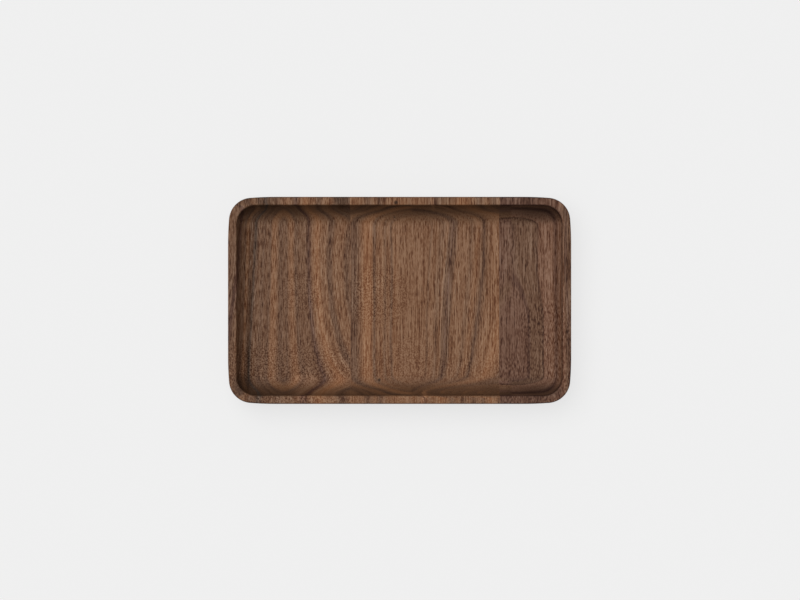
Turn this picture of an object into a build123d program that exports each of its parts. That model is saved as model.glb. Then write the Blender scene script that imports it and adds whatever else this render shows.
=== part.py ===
"""A low walnut pen tray.

Three boards are glued edge to edge, with the grain running across the tray. The panel is then milled to an
outline whose round corners ease into the sides, and hollowed with a round-nosed cutter, which leaves a cove
all round the floor. Four rubber feet are stuck into drilled seats in the underside.

The origin is on the desk under the middle of the tray. X runs along the tray, Y along the grain, Z up.
"""

import os
from math import cos, radians, sin

from build123d import *

# Boards, from left to right, each measured across its grain
LEFT_BOARD = 71.0
MIDDLE_BOARD = 87.5
RIGHT_BOARD = 41.5

# Outline and walls. A long arc, turning by a few degrees, eases each end of a corner into its straight side
TRAY_WIDTH = 120.7
CORNER = 13.4
EASE_RADIUS = 190.0
EASE_TURN = 4.5
WALL = 5.0
RIM_EASE = 0.8
BASE_CHAMFER = 2.0

# Hollow, from the rim down: a straight wall, the cove of the cutter's nose, then the flat floor
STRAIGHT_WALL = 2.0
CUTTER_NOSE = 11.0
CUTTER_TURN = 0.3
FLOOR = 6.0

# Feet and their drilled seats
FOOT_DIAMETER = 10.0
FOOT_TAPER = 0.9
FOOT_STAND = 1.0
SEAT_DEPTH = 1.2
SEAT_CLEARANCE = 0.15
FOOT_INSET = 21.0

# Sizes that follow from those above
TRAY_LENGTH = LEFT_BOARD + MIDDLE_BOARD + RIGHT_BOARD
HOLLOW_LENGTH = TRAY_LENGTH - 2 * WALL
HOLLOW_WIDTH = TRAY_WIDTH - 2 * WALL
HOLLOW_DEPTH = STRAIGHT_WALL + CUTTER_NOSE
HOLLOW_CORNER = CUTTER_NOSE + CUTTER_TURN
THICKNESS = HOLLOW_DEPTH + FLOOR
UNDERSIDE = FOOT_STAND
RIM = UNDERSIDE + THICKNESS
SIDE_X = TRAY_LENGTH / 2
SIDE_Y = TRAY_WIDTH / 2
EASE = radians(EASE_TURN)
CORNER_REACH = EASE_RADIUS * (1 - cos(EASE) + sin(EASE)) + CORNER * (cos(EASE) - sin(EASE))
SIDE_END_X = SIDE_X - CORNER_REACH
SIDE_END_Y = SIDE_Y - CORNER_REACH
LEFT_JOINT = LEFT_BOARD - SIDE_X
RIGHT_JOINT = LEFT_JOINT + MIDDLE_BOARD
FOOT_X = SIDE_X - FOOT_INSET
FOOT_Y = SIDE_Y - FOOT_INSET

os.makedirs("parts", exist_ok=True)


def write(part, name):
    """Label a finished piece and write it to its own file."""
    part.label = name
    export_step(part, f"parts/{name}.step")


# The glued panel, milled to shape
with BuildPart() as tray:
    with BuildSketch(Plane.XY.offset(UNDERSIDE)):
        with BuildLine():
            # One eased corner, then its mirror images, then the straight sides between them
            first_ease = JernArc((SIDE_X, SIDE_END_Y), (0, 1), EASE_RADIUS, EASE_TURN)
            turn = JernArc(first_ease @ 1, first_ease % 1, CORNER, 90 - 2 * EASE_TURN)
            JernArc(turn @ 1, turn % 1, EASE_RADIUS, EASE_TURN)
            mirror(about=Plane.YZ)
            mirror(about=Plane.XZ)
            for side in (-1, 1):
                Line((side * SIDE_X, -SIDE_END_Y), (side * SIDE_X, SIDE_END_Y))
                Line((-SIDE_END_X, side * SIDE_Y), (SIDE_END_X, side * SIDE_Y))
        make_face()
    extrude(amount=THICKNESS)
    chamfer(tray.faces().sort_by(Axis.Z)[0].edges(), length=BASE_CHAMFER)

    # The hollow: the cutter's path, then the round of its nose
    with BuildSketch(Plane.XY.offset(RIM)):
        RectangleRounded(HOLLOW_LENGTH, HOLLOW_WIDTH, HOLLOW_CORNER)
    extrude(amount=-HOLLOW_DEPTH, mode=Mode.SUBTRACT)
    floor_face = tray.faces().filter_by(Axis.Z).sort_by(Axis.Z)[1]
    fillet(floor_face.edges(), radius=CUTTER_NOSE)

    # Both edges of the rim are sanded round
    rim_face = tray.faces().sort_by(Axis.Z)[-1]
    fillet(rim_face.edges(), radius=RIM_EASE)

    # Flat-bottomed seats for the feet
    with BuildSketch(Plane.XY.offset(UNDERSIDE)):
        with GridLocations(2 * FOOT_X, 2 * FOOT_Y, 2, 2):
            Circle(FOOT_DIAMETER / 2 + SEAT_CLEARANCE)
    extrude(amount=SEAT_DEPTH, mode=Mode.SUBTRACT)

# Each board is its own length of the milled panel, from joint to joint
with BuildPart() as left_board:
    add(tray.part)
    split(bisect_by=Plane.YZ.offset(LEFT_JOINT), keep=Keep.BOTTOM)
write(left_board.part, "left_board")

with BuildPart() as middle_board:
    add(tray.part)
    split(bisect_by=Plane.YZ.offset(LEFT_JOINT), keep=Keep.TOP)
    split(bisect_by=Plane.YZ.offset(RIGHT_JOINT), keep=Keep.BOTTOM)
write(middle_board.part, "middle_board")

with BuildPart() as right_board:
    add(tray.part)
    split(bisect_by=Plane.YZ.offset(RIGHT_JOINT), keep=Keep.TOP)
write(right_board.part, "right_board")

# A foot is a moulded rubber button, widest where it is stuck to the top of its seat
FOOT_CORNERS = {
    "foot_front_left": (-FOOT_X, -FOOT_Y),
    "foot_front_right": (FOOT_X, -FOOT_Y),
    "foot_back_left": (-FOOT_X, FOOT_Y),
    "foot_back_right": (FOOT_X, FOOT_Y),
}
for name, (x, y) in FOOT_CORNERS.items():
    with BuildPart() as foot:
        with BuildSketch(Plane(origin=(x, y, 0), x_dir=(1, 0, 0), z_dir=(0, -1, 0))):
            with BuildLine():
                Polyline(
                    (0, 0),
                    (FOOT_DIAMETER / 2 - FOOT_TAPER, 0),
                    (FOOT_DIAMETER / 2, FOOT_STAND + SEAT_DEPTH),
                    (0, FOOT_STAND + SEAT_DEPTH),
                    close=True,
                )
            make_face()
        revolve(axis=Axis((x, y, 0), (0, 0, 1)))
    write(foot.part, name)
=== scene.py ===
import math

import bpy
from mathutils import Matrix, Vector


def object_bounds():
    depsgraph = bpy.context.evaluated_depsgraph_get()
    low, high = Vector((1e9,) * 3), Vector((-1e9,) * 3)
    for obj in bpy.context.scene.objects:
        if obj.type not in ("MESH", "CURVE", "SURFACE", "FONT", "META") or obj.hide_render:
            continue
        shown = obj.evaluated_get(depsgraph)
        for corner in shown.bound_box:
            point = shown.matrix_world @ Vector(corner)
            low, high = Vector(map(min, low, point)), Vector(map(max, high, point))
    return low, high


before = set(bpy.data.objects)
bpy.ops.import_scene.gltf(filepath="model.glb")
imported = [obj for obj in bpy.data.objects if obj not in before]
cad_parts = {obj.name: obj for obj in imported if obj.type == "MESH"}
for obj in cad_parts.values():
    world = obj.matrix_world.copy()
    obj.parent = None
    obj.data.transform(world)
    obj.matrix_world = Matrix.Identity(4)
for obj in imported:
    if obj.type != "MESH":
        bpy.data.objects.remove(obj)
cad_low, cad_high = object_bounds()


# Left board
# A flat-sawn walnut board with its grain across the tray, glued along its right edge. The oiled wood is one
# solid figure: growth rings crest along a heart line, so each ring leaves a line on the floor and sweeps in
# towards the heart where the cove rises through it.

# Wood tones
HONEY = (0.262, 0.122, 0.058)
PALE = (0.224, 0.108, 0.054)
TAN = (0.206, 0.101, 0.052)
RUSSET = (0.164, 0.082, 0.044)
UMBER = (0.140, 0.071, 0.040)
CLAY = (0.138, 0.067, 0.041)
OLIVE = (0.106, 0.062, 0.041)
PLUM = (0.097, 0.045, 0.028)


def add_node(tree, kind, inputs, **settings):
    """A shader node with its settings, and its inputs set to values or wired to other nodes' outputs."""
    made = tree.nodes.new(kind)
    for setting, value in settings.items():
        setattr(made, setting, value)
    for socket, value in inputs.items():
        if isinstance(value, bpy.types.NodeSocket):
            tree.links.new(value, made.inputs[socket])
        else:
            made.inputs[socket].default_value = value
    return made


def calculate(tree, operation, *values):
    """One step of arithmetic on numbers and node outputs."""
    return add_node(tree, "ShaderNodeMath", dict(enumerate(values)), operation=operation).outputs[0]


def calculate_place(tree, operation, inputs, result="Vector"):
    """One step of arithmetic on places or colours, which gives another one or a plain value."""
    return add_node(tree, "ShaderNodeVectorMath", inputs, operation=operation).outputs[result]


MM_PER_METRE = 1000.0


def place_in_mm(tree):
    """Each point's place, in mm."""
    coordinates = add_node(tree, "ShaderNodeTexCoord", {}).outputs["Object"]
    return calculate_place(tree, "SCALE", {0: coordinates, "Scale": MM_PER_METRE})


def grade(tree, value, low, high, start=0.0, end=1.0, shape="SMOOTHSTEP"):
    """A step from start to end while value goes from low to high."""
    inputs = {"Value": value, "From Min": low, "From Max": high, "To Min": start, "To Max": end}
    return add_node(tree, "ShaderNodeMapRange", inputs, interpolation_type=shape).outputs["Result"]


def blend(tree, share, first, second):
    """From the first number to the second as share goes from 0 to 1."""
    return add_node(tree, "ShaderNodeMix", {0: share, 2: first, 3: second}).outputs[0]


def mix_tones(tree, share, first, second, clamped=True):
    """From the first tone to the second as share goes from 0 to 1, and past both if it isn't clamped."""
    inputs = {0: share, 6: first, 7: second}
    return add_node(tree, "ShaderNodeMix", inputs, data_type="RGBA", clamp_factor=clamped).outputs[2]


SEED_STEPS = (1.0, 1.7, 2.3)


def blotches(tree, place, pitch, seed, detail=1.0, roughness=0.5):
    """Noise from 0 to 1, whose blotches have the given pitch in mm along each axis."""
    scale = [1 / size for size in pitch]
    start = [seed * step for step in SEED_STEPS]
    fitted = calculate_place(tree, "MULTIPLY_ADD", {0: place, 1: scale, 2: start})
    inputs = {"Vector": fitted, "Scale": 1.0, "Detail": detail, "Roughness": roughness}
    return add_node(tree, "ShaderNodeTexNoise", inputs).outputs[0]


def centred(tree, noise, size):
    """Noise from 0 to 1 spread over the given size, half of it below zero."""
    return calculate(tree, "MULTIPLY_ADD", noise, size, -size / 2)


def ring_tones(tree, ring, stops):
    """A ring's colour, from stops of (mm from the heart, tone). Past the last one they run backwards."""
    last_ring = stops[-1][0]
    folded = calculate(tree, "PINGPONG", ring, last_ring)
    ramp = add_node(tree, "ShaderNodeValToRGB", {0: calculate(tree, "DIVIDE", folded, last_ring)})
    elements = ramp.color_ramp.elements
    for number, (distance, tone) in enumerate(stops):
        position = distance / last_ring
        element = elements[number] if number < 2 else elements.new(position)
        element.position = position
        element.color = (*tone, 1.0)
    return ramp.outputs["Color"]


# The sway of the rings: the noise's pitch across, along and up the board, and its size, in mm
SLOW_SWAY = (45, 70, 45)
QUICK_SWAY = (6, 12, 6)
SWAY_SIZE = 1.0
FRAYING = (0.9, 10, 0.9)
FRAY_SIZE = 1.2


def heart_offset(tree, place, across, heart, seed):
    """Distance from the heart line, with the slow and quick sway of grown wood and its frayed fibres."""
    slow = blotches(tree, place, SLOW_SWAY, seed)
    quick = blotches(tree, place, QUICK_SWAY, seed + 3)
    fray = blotches(tree, place, FRAYING, seed + 4)
    sway = calculate(tree, "ADD", centred(tree, slow, SWAY_SIZE), centred(tree, quick, SWAY_SIZE))
    sway = calculate(tree, "ADD", sway, centred(tree, fray, FRAY_SIZE))
    return calculate(tree, "ADD", calculate(tree, "SUBTRACT", across, heart), sway)


# The course of the rings, in mm: the floor's height, heights above it, and distances along the grain from
# the tray's middle. RIM_PULL is the share of the pull that is left at the rim.
FLOOR_HEIGHT = 7.0
FAN_END = 46.0
SWEEP_HEIGHT = 3.5
SWEEP_EASE = 3.0
FULL_SWEEP_START = 56.0
FULL_SWEEP_END = 60.0
PULL_CHANGE = 25.0
PULL_FADE_START = 54.0
PULL_FADE_END = 57.0
RIM_PULL = 0.2


def ring_at(tree, offset, along, up, fans, bend, pulls, curl, bow, dip):
    """Where each point's ring would cross the floor, in mm from the heart line.

    fans: how the left and the right flank's rings spread towards the back, per mm
    bend: the offset at which the right flank's rings don't bow, and how strongly they bow beyond it
    pulls: how strongly each flank's rings sweep in up the cove, at the front and at the back
    curl: how much stronger that grows with each mm
    bow: the radius of the rings over the heart line
    dip: the two places along the grain between which the rings dip, and how deep they lie at each
    """
    right_side = calculate(tree, "GREATER_THAN", offset, 0.0)
    fan = blend(tree, right_side, *fans)
    straight_ring, bowing_rate = bend
    bowing = calculate(tree, "MULTIPLY", calculate(tree, "SUBTRACT", offset, straight_ring), bowing_rate)
    bowing = calculate(tree, "MULTIPLY", bowing, right_side)
    reach = grade(tree, along, -FAN_END, FAN_END, -FAN_END, FAN_END, "LINEAR")
    spread = calculate(tree, "SUBTRACT", calculate(tree, "MULTIPLY", bowing, reach), fan)
    spread = calculate(tree, "MULTIPLY_ADD", spread, reach, 1.0)

    # The sweep grows up the cove, and near the ends it is full at every height
    rise = calculate(tree, "ADD", calculate(tree, "SUBTRACT", up, FLOOR_HEIGHT), grade(tree, along, *dip))
    climb = calculate(tree, "MAXIMUM", rise, 0.0)
    climb = calculate(tree, "SMOOTH_MIN", climb, SWEEP_HEIGHT, SWEEP_EASE)
    from_middle = calculate(tree, "ABSOLUTE", along)
    full_sweep = grade(tree, from_middle, FULL_SWEEP_START, FULL_SWEEP_END)
    climb = blend(tree, full_sweep, climb, SWEEP_HEIGHT)
    left_pull = grade(tree, along, -PULL_CHANGE, PULL_CHANGE, *pulls[0])
    right_pull = grade(tree, along, -PULL_CHANGE, PULL_CHANGE, *pulls[1])
    pull = blend(tree, right_side, left_pull, right_pull)
    fade = grade(tree, from_middle, PULL_FADE_START, PULL_FADE_END, 1.0, RIM_PULL)
    pull = calculate(tree, "MULTIPLY", pull, fade)
    pull = calculate(tree, "MULTIPLY_ADD", climb, curl, pull)
    sweep = calculate(tree, "EXPONENT", calculate(tree, "MULTIPLY", pull, climb))

    level = calculate(tree, "MULTIPLY", offset, calculate(tree, "MULTIPLY", spread, sweep))
    square = calculate(tree, "MULTIPLY_ADD", rise, 2 * bow, calculate(tree, "MULTIPLY", level, level))
    return calculate(tree, "SQRT", calculate(tree, "ABSOLUTE", square))


# Fibres, flecks and pores: sizes in mm, and shares
FIBRE_WIDTH = 0.58
SHORT_FIBRE = 2.4
SHORT_SHARE = 0.38
PATCH_CORE = 0.4
WAVE_PITCH = (7, 10, 7)
FLECK_WIDTH = 0.56
FLECK_GAIN = 1.3
FLECK_DROP = -0.2
PORE_PITCH = (0.8, 8, 0.8)
PORE_EDGE = 0.34
PORE_CORE = 0.24


def grow_fibres(tree, place, plan, along, seed, grain, curly, patches, fleck):
    """Fibres that follow the grain and curl in places, and the pores between the straight ones.

    grain: the length of a long fibre
    curly: two places along the grain, and the share of fibres that curl at each
    patches: other curly places, as x, y, radius and share
    fleck: the length of a curled fibre, and how far it strays sideways
    """
    curled = grade(tree, along, *curly)
    for x, y, radius, share in patches:
        away = calculate_place(tree, "DISTANCE", {0: plan, 1: (x, y, 0)}, "Value")
        patch = grade(tree, away, radius, PATCH_CORE * radius, 0.0, share)
        curled = calculate(tree, "MAXIMUM", curled, patch)

    long_fibres = blotches(tree, place, (FIBRE_WIDTH, grain, FIBRE_WIDTH), seed + 7)
    short_fibres = blotches(tree, place, (FIBRE_WIDTH, SHORT_FIBRE, FIBRE_WIDTH), seed + 9)
    straight_fibres = blend(tree, SHORT_SHARE, long_fibres, short_fibres)
    fleck_length, fleck_wave = fleck
    wave = centred(tree, blotches(tree, place, WAVE_PITCH, seed + 11), 2 * fleck_wave)
    drift = add_node(tree, "ShaderNodeCombineXYZ", {0: wave}).outputs[0]
    waved = calculate_place(tree, "ADD", {0: place, 1: drift})
    flecks = blotches(tree, waved, (FLECK_WIDTH, fleck_length, FLECK_WIDTH), seed + 13)
    flecks = calculate(tree, "MULTIPLY_ADD", flecks, FLECK_GAIN, FLECK_DROP)
    fibres = blend(tree, curled, straight_fibres, flecks)

    pore_scale = [1 / size for size in PORE_PITCH]
    cells = calculate_place(tree, "MULTIPLY_ADD", {0: place, 1: pore_scale, 2: (seed, seed, seed)})
    nearest = add_node(tree, "ShaderNodeTexVoronoi", {"Vector": cells, "Scale": 1.0}).outputs["Distance"]
    straight = calculate(tree, "SUBTRACT", 1.0, curled)
    pores = calculate(tree, "MULTIPLY", grade(tree, nearest, PORE_EDGE, PORE_CORE), straight)
    return fibres, pores


# How deep the texture goes, where it grows calm towards the heart line, in mm, and what end grain changes
FIBRE_CEILING = 0.54
FIBRE_EASE = 0.12
FIBRE_DEPTH = -2.6
FIBRE_LEVEL = 1.24
PORE_DEPTH = 0.5
STREAK_PITCH = (0.65, 50, 25)
STREAK_DEPTH = -0.75
HEART_WIDTH = 1.5
CALM_END = 5
CALM_START = 15
CALM_SHARE = 0.35
FULL_END_GRAIN = 0.7
END_RING_MIX = -0.4
END_FIBRE_LOSS = -0.75
END_STREAK_LOSS = -0.35
END_DARKENING = -0.51

# The rim's sanded edges, painted paler partly as rubbed wear and partly as a painted highlight, the marks
# and the finish
WEAR_AND_HIGHLIGHT_SLOPES = (0.97, 0.6)
WEAR_AND_HIGHLIGHT_HEIGHTS = (19.2, 19.5)
WEAR_AND_HIGHLIGHT_GAIN = 0.18
MARK_CORE = 0.3
SATIN = 0.12
WOOD_ROUGHNESS = 0.45
FIBRE_ROUGHNESS = 0.2
WOOD_BUMP = {"Strength": 0.3, "Distance": 0.0001}


def walnut(name, heart, rings, flanks, texture, marks, oil, seed):
    """Oiled walnut, with its lengths in mm.

    heart: where the heart line lies across the tray
    rings: the course of the rings, as ring_at takes it
    flanks: the ring tones to the left and to the right of the heart line
    texture: the fibres, as grow_fibres takes them
    marks: pin knots, stains and pale patches, as x, y, half-width, half-length and shade in the middle
    oil: how far the oil blurs the rings on end grain
    """
    material = bpy.data.materials.new(name)
    material.use_nodes = True
    tree = material.node_tree
    surface = tree.nodes["Principled BSDF"]
    surface.inputs["Specular IOR Level"].default_value = SATIN
    place = place_in_mm(tree)

    # End grain drinks more oil, which blurs its rings
    normal = add_node(tree, "ShaderNodeNewGeometry", {}).outputs["Normal"]
    facing = add_node(tree, "ShaderNodeSeparateXYZ", {0: normal}).outputs
    endwards = calculate(tree, "ABSOLUTE", facing["Y"])
    end_grain = grade(tree, endwards, 0.0, FULL_END_GRAIN, shape="LINEAR")
    speck = add_node(tree, "ShaderNodeTexWhiteNoise", {"Vector": place}).outputs["Color"]
    speck = calculate_place(tree, "SUBTRACT", {0: speck, 1: (0.5, 0.5, 0.5)})
    soak = calculate(tree, "MULTIPLY", end_grain, oil)
    blur = calculate_place(tree, "SCALE", {0: speck, "Scale": soak})
    blurred = calculate_place(tree, "ADD", {0: place, 1: blur})
    axes = add_node(tree, "ShaderNodeSeparateXYZ", {0: blurred}).outputs
    across, along, up = axes["X"], axes["Y"], axes["Z"]

    # Ring colours, left flank into right flank
    offset = heart_offset(tree, place, across, heart, seed)
    ring = ring_at(tree, offset, along, up, **rings)
    left = ring_tones(tree, ring, flanks[0])
    right = ring_tones(tree, ring, flanks[1])
    tone = mix_tones(tree, grade(tree, offset, -HEART_WIDTH, HEART_WIDTH), left, right)

    # The oil darkens the end grain, deepens its rings and evens out its texture
    deepened = calculate(tree, "MULTIPLY", end_grain, END_RING_MIX)
    tone = mix_tones(tree, deepened, tone, (*RUSSET, 1.0), clamped=False)
    fibre_share = calculate(tree, "MULTIPLY_ADD", end_grain, END_FIBRE_LOSS, 1.0)
    streak_share = calculate(tree, "MULTIPLY_ADD", end_grain, END_STREAK_LOSS, 1.0)
    shade = calculate(tree, "MULTIPLY_ADD", end_grain, END_DARKENING, 1.0)

    # Fibres and pores, and streaks that follow the rings
    plan = add_node(tree, "ShaderNodeCombineXYZ", {0: across, 1: along}).outputs[0]
    fibres, pores = grow_fibres(tree, place, plan, along, seed, **texture)
    fibre_depth = calculate(tree, "SMOOTH_MIN", fibres, FIBRE_CEILING, FIBRE_EASE)
    depth = calculate(tree, "MULTIPLY_ADD", fibre_depth, FIBRE_DEPTH, FIBRE_LEVEL)
    depth = calculate(tree, "MULTIPLY_ADD", pores, PORE_DEPTH, depth)
    depth = calculate(tree, "MULTIPLY", depth, fibre_share)
    ring_place = add_node(tree, "ShaderNodeCombineXYZ", {0: ring, 1: along, 2: offset}).outputs[0]
    streaks = blotches(tree, ring_place, STREAK_PITCH, seed + 5, detail=2.0)
    calm = grade(tree, ring, CALM_END, CALM_START, CALM_SHARE, 1.0)
    streak_share = calculate(tree, "MULTIPLY", streak_share, calm)
    depth = calculate(tree, "MULTIPLY_ADD", centred(tree, streaks, STREAK_DEPTH), streak_share, depth)
    figure = add_node(tree, "ShaderNodeGamma", {0: tone, 1: calculate(tree, "ADD", depth, 1.0)}).outputs[0]

    # The sanded edges of the rim are painted paler: partly rubbed wear, partly a painted highlight along the
    # edges
    sloping = grade(tree, facing["Z"], *WEAR_AND_HIGHLIGHT_SLOPES)
    rubbed_and_highlit = calculate(tree, "MULTIPLY", sloping, grade(tree, up, *WEAR_AND_HIGHLIGHT_HEIGHTS))
    shade = calculate(tree, "MULTIPLY", shade, calculate(tree, "MULTIPLY_ADD", rubbed_and_highlit, WEAR_AND_HIGHLIGHT_GAIN, 1.0))

    # Pin knots, stains and pale patches stand upright in the board
    for x, y, width, length, middle in marks:
        scale = (1 / width, 1 / length, 0)
        start = (-x / width, -y / length, 0)
        scaled = calculate_place(tree, "MULTIPLY_ADD", {0: plan, 1: scale, 2: start})
        away = calculate_place(tree, "LENGTH", {0: scaled}, "Value")
        shade = calculate(tree, "MULTIPLY", shade, grade(tree, away, MARK_CORE, 1.0, middle, 1.0))
    colour = calculate_place(tree, "SCALE", {0: figure, "Scale": shade})
    tree.links.new(colour, surface.inputs["Base Color"])

    roughness = calculate(tree, "MULTIPLY_ADD", fibres, FIBRE_ROUGHNESS, WOOD_ROUGHNESS)
    tree.links.new(roughness, surface.inputs["Roughness"])
    height = calculate(tree, "SUBTRACT", fibres, pores)
    bump = add_node(tree, "ShaderNodeBump", {"Height": height, **WOOD_BUMP})
    tree.links.new(bump.outputs["Normal"], surface.inputs["Normal"])
    return material


def dress(node_name, material):
    """Gives a CAD node this material alone."""
    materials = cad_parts[node_name].data.materials
    materials.clear()
    materials.append(material)


left_flank = [
    (0, UMBER), (1.6, UMBER), (4.2, PALE), (6.2, PALE), (7.8, UMBER), (10, RUSSET),
    (12, UMBER), (14.5, RUSSET), (16.6, UMBER), (17.7, OLIVE), (18.4, OLIVE), (19.6, UMBER),
    (22.6, UMBER), (25, TAN), (27.6, TAN), (29.4, UMBER), (32, UMBER), (36.5, RUSSET),
    (40, UMBER), (42, PLUM), (43.5, PLUM), (45.5, UMBER), (55, RUSSET),
]
right_flank = [
    (0, UMBER), (1.2, RUSSET), (2.4, UMBER), (5.2, PALE), (6.6, PALE), (8.4, UMBER),
    (10.8, RUSSET), (14.5, RUSSET), (16.5, PLUM), (18.6, TAN), (21.5, HONEY), (24.5, TAN),
    (26.4, TAN), (28.2, UMBER), (29.8, UMBER), (32, TAN), (36, TAN), (39, UMBER),
    (42, RUSSET), (46, UMBER), (60, CLAY), (68, UMBER), (78, TAN),
]
left_walnut = walnut(
    "left_walnut",
    heart=-69.2,
    rings={
        "fans": (-0.0038, -0.0038),
        "bend": (-40.0, -0.0000013),
        "pulls": ((0.06, 0.08), (0.03, 0.03)),
        "curl": 0.012,
        "bow": 6.0,
        "dip": (-36, -46, 0, 0.05),
    },
    flanks=(left_flank, right_flank),
    texture={
        "grain": 6,
        "curly": (-18, -36, 0.15, 0.75),
        "patches": ((-58, 4, 18, 0.5),),
        "fleck": (0.95, 0.0),
    },
    marks=(
        (-84.8, 34, 2.2, 20, 0.76),
        (-88, 0, 1.1, 20, 0.7),
        (-89, -36, 1.2, 24, 0.5),
        (-92, -50, 7, 10, 0.62),
        (-34, 58.5, 6, 6, 0.55),
        (-55, -50, 13, 9, 1.5),
        (-37, -50, 12, 8, 1.25),
        (-58, -58, 5, 5, 1.3),
        (-80, 58, 16, 5, 0.8),
        (-66.5, 58, 6, 5, 1.35),
    ),
    oil=0.4,
    seed=3.0,
)
dress("left_board", left_walnut)


# Middle board
# The widest board, lighter and more orange, glued between the other two. Its rings run almost straight along
# the floor, fan out towards the back on the right, and lie flat where they meet the front cove there.
LINE = (0.082, 0.036, 0.019)
left_flank = [
    (0, TAN), (6, TAN), (10.5, PALE), (11.8, UMBER), (13, TAN), (14.5, TAN),
    (15.5, RUSSET), (17.5, PALE), (20.5, TAN), (22, UMBER), (24, HONEY), (27.6, HONEY),
    (30, TAN), (32.8, UMBER), (35.6, UMBER), (36.4, PALE), (39.5, PALE), (43, TAN),
    (47, UMBER), (50, TAN), (55, UMBER), (59, TAN), (66, PALE), (74, TAN),
]
right_flank = [
    (0, TAN), (8.5, TAN), (9.5, RUSSET), (10.5, TAN), (12.5, TAN), (15, RUSSET),
    (17.6, TAN), (19, UMBER), (20.2, UMBER), (20.8, PLUM), (21.4, UMBER), (22.8, UMBER),
    (24.2, TAN), (30, TAN), (32.2, RUSSET), (34.5, TAN), (36, PALE), (37.2, TAN),
    (39, RUSSET), (39.8, LINE), (40.2, LINE), (41.3, RUSSET), (43.5, TAN), (47, PALE),
    (50, PALE), (54, HONEY), (64, TAN), (68, UMBER), (75, TAN), (84, UMBER), (92, TAN),
]
middle_walnut = walnut(
    "middle_walnut",
    heart=7.0,
    rings={
        "fans": (0.0, 0.0032),
        "bend": (27.5, 0.0000025),
        "pulls": ((0.0, 0.0), (0.4, 0.0)),
        "curl": 0.04,
        "bow": 50.0,
        "dip": (-34, -46, 0, 0.12),
    },
    flanks=(left_flank, right_flank),
    texture={
        "grain": 20,
        "curly": (-24, -40, 0.0, 0.4),
        "patches": ((-13, 2, 26, 0.6), (3, -38, 24, 0.5)),
        "fleck": (1.0, 0.0),
    },
    marks=(
        (-2.1, 57.0, 1.6, 1.6, 0.25),
        (-3.0, 48.9, 0.8, 0.8, 0.25),
        (-12.0, -46.8, 1.3, 1.3, 0.25),
        (28, 58.5, 8, 4, 0.75),
        (19.7, 58, 2.2, 6, 1.6),
        (14.3, -58, 3, 6, 1.75),
        (57, -50.5, 14, 6, 0.86),
    ),
    oil=1.4,
    seed=11.0,
)
dress("middle_board", middle_walnut)


# Right board
# The narrowest board, redder and darker, glued along its left edge. Its rings are the flattest, and they dip
# towards the back, so they close into arches on the floor.
ROSE = (0.192, 0.096, 0.057)
left_flank = [
    (0, CLAY), (6, CLAY), (9, UMBER), (12, CLAY), (16, CLAY), (17.4, LINE),
    (18.6, LINE), (20, RUSSET), (28, RUSSET), (34, CLAY), (42, UMBER), (50, CLAY),
    (59, PLUM), (63, CLAY), (70, PLUM),
]
right_flank = [
    (0, CLAY), (9.2, CLAY), (10.2, PLUM), (10.7, PLUM), (11.8, UMBER), (18, UMBER),
    (19.2, LINE), (20.2, ROSE), (33, ROSE), (36.5, CLAY), (40, PLUM), (43.5, CLAY),
    (48, ROSE), (53, ROSE), (57, CLAY), (60, PLUM), (62, CLAY), (64.5, CLAY),
    (65.8, ROSE), (66.4, UMBER), (66.9, PLUM), (67.5, UMBER), (70, UMBER),
]
right_walnut = walnut(
    "right_walnut",
    heart=65.5,
    rings={
        "fans": (0.0, 0.0),
        "bend": (0.0, 0.0),
        "pulls": ((0.0, 0.0), (0.0, 0.0)),
        "curl": 0.0,
        "bow": 130.0,
        "dip": (-12, 20, 0, 0.48),
    },
    flanks=(left_flank, right_flank),
    texture={
        "grain": 20,
        "curly": (-20, -42, 0.0, 0.7),
        "patches": ((87, -16, 24, 0.7),),
        "fleck": (2.2, 1.0),
    },
    marks=(
        (84, 50.5, 22, 6, 0.7),
        (84, -53, 22, 5, 0.75),
        (58.5, -50, 9, 7, 1.35),
    ),
    oil=0.5,
    seed=31.0,
)
dress("right_board", right_walnut)


# Feet
# Four tapered buttons of dark rubber, moulded, and stuck into the drilled seats under the corners.
# Their skin has the fine matt grain of the mould.
MOULD_PITCH = (0.25, 0.25, 0.25)
DUST_PITCH = (3, 3, 3)
RUBBER_SHADE = 0.022
DUST_SHADE = 0.012
RUBBER_ROUGHNESS = 0.6
MOULD_ROUGHNESS = 0.2
RUBBER_BUMP = {"Strength": 0.4, "Distance": 0.00005}
foot_rubber = bpy.data.materials.new("foot_rubber")
foot_rubber.use_nodes = True
tree = foot_rubber.node_tree
surface = tree.nodes["Principled BSDF"]
place = place_in_mm(tree)
mould_grain = blotches(tree, place, MOULD_PITCH, 2.0, detail=3.0)
dust = blotches(tree, place, DUST_PITCH, 5.0)
shade = calculate(tree, "MULTIPLY_ADD", dust, DUST_SHADE, RUBBER_SHADE)
tree.links.new(shade, surface.inputs["Base Color"])
roughness = calculate(tree, "MULTIPLY_ADD", mould_grain, MOULD_ROUGHNESS, RUBBER_ROUGHNESS)
tree.links.new(roughness, surface.inputs["Roughness"])
bump = add_node(tree, "ShaderNodeBump", {"Height": mould_grain, **RUBBER_BUMP})
tree.links.new(bump.outputs["Normal"], surface.inputs["Normal"])
for foot in ("foot_front_left", "foot_front_right", "foot_back_left", "foot_back_right"):
    dress(foot, foot_rubber)


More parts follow.
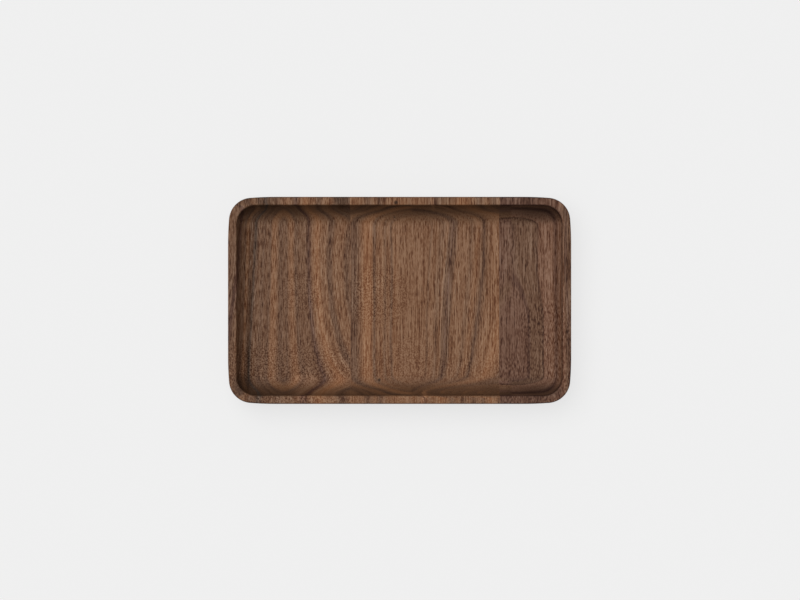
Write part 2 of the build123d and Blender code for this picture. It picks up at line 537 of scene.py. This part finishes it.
# Studio floor
# A wide pale sheet that the tray stands on. It shows the camera mostly its own flat grey, so the tray's
# shadow on it stays faint.
FLOOR_REACH = 6.0
FLOOR_GREY = 0.88
SHADOW_SHARE = 0.2
floor_mesh = bpy.data.meshes.new("studio_floor")
corners = [(-FLOOR_REACH, -FLOOR_REACH, 0), (FLOOR_REACH, -FLOOR_REACH, 0),
           (FLOOR_REACH, FLOOR_REACH, 0), (-FLOOR_REACH, FLOOR_REACH, 0)]
floor_mesh.from_pydata(corners, [], [(0, 1, 2, 3)])
studio_floor = bpy.data.objects.new("studio_floor", floor_mesh)
bpy.context.scene.collection.objects.link(studio_floor)
paper = bpy.data.materials.new("floor_paper")
paper.use_nodes = True
tree = paper.node_tree
tree.nodes.remove(tree.nodes["Principled BSDF"])
grey = (FLOOR_GREY, FLOOR_GREY, FLOOR_GREY, 1.0)
sheet = add_node(tree, "ShaderNodeBsdfDiffuse", {"Color": grey})
glow = add_node(tree, "ShaderNodeEmission", {"Color": grey, "Strength": 1.0})
rays = add_node(tree, "ShaderNodeLightPath", {}).outputs
seen = calculate(tree, "MAXIMUM", rays["Is Camera Ray"], rays["Is Glossy Ray"])
seen = calculate(tree, "MAXIMUM", seen, rays["Is Transmission Ray"])
share = calculate(tree, "MULTIPLY", seen, 1.0 - SHADOW_SHARE)
mixed = add_node(tree, "ShaderNodeMixShader", {0: share, 1: sheet.outputs[0], 2: glow.outputs[0]})
tree.links.new(mixed.outputs[0], tree.nodes["Material Output"].inputs["Surface"])
floor_mesh.materials.append(paper)


# Studio light
# An even white room, and one very large soft lamp high on the left at the back.
ROOM_LEVEL = 0.3
LAMP_LEVEL = 2.15
LAMP_SPREAD = math.radians(60)
LAMP_FROM = Vector((-0.3, 0.3, 1.0))
room = bpy.data.worlds.new("studio_room")
room.use_nodes = True
room.node_tree.nodes["Background"].inputs["Color"].default_value = (1.0, 1.0, 1.0, 1.0)
room.node_tree.nodes["Background"].inputs["Strength"].default_value = ROOM_LEVEL
bpy.context.scene.world = room
lamp_data = bpy.data.lights.new("soft_lamp", "SUN")
lamp_data.energy = LAMP_LEVEL
lamp_data.angle = LAMP_SPREAD
soft_lamp = bpy.data.objects.new("soft_lamp", lamp_data)
soft_lamp.rotation_euler = LAMP_FROM.to_track_quat("Z", "Y").to_euler()
bpy.context.scene.collection.objects.link(soft_lamp)


# Camera
# Straight above the tray, far enough back that its walls hardly lean, with the tray's 200 mm across
# 343.4 of the picture's 800 pixels.
PICTURE_WIDTH = 800
TRAY_PIXELS = 343.4
CAMERA_ABOVE_RIM = 1.25
CAMERA_ASIDE = Vector((0.00023, 0.00023))
camera_data = bpy.data.cameras.new("camera")
tray_length = cad_high.x - cad_low.x
view_width = tray_length * PICTURE_WIDTH / TRAY_PIXELS
camera_data.lens = camera_data.sensor_width * CAMERA_ABOVE_RIM / view_width
camera = bpy.data.objects.new("camera", camera_data)
camera.location = (CAMERA_ASIDE.x, CAMERA_ASIDE.y, cad_high.z + CAMERA_ABOVE_RIM)
bpy.context.scene.collection.objects.link(camera)
bpy.context.scene.camera = camera
bpy.context.scene.view_settings.view_transform = "Standard"
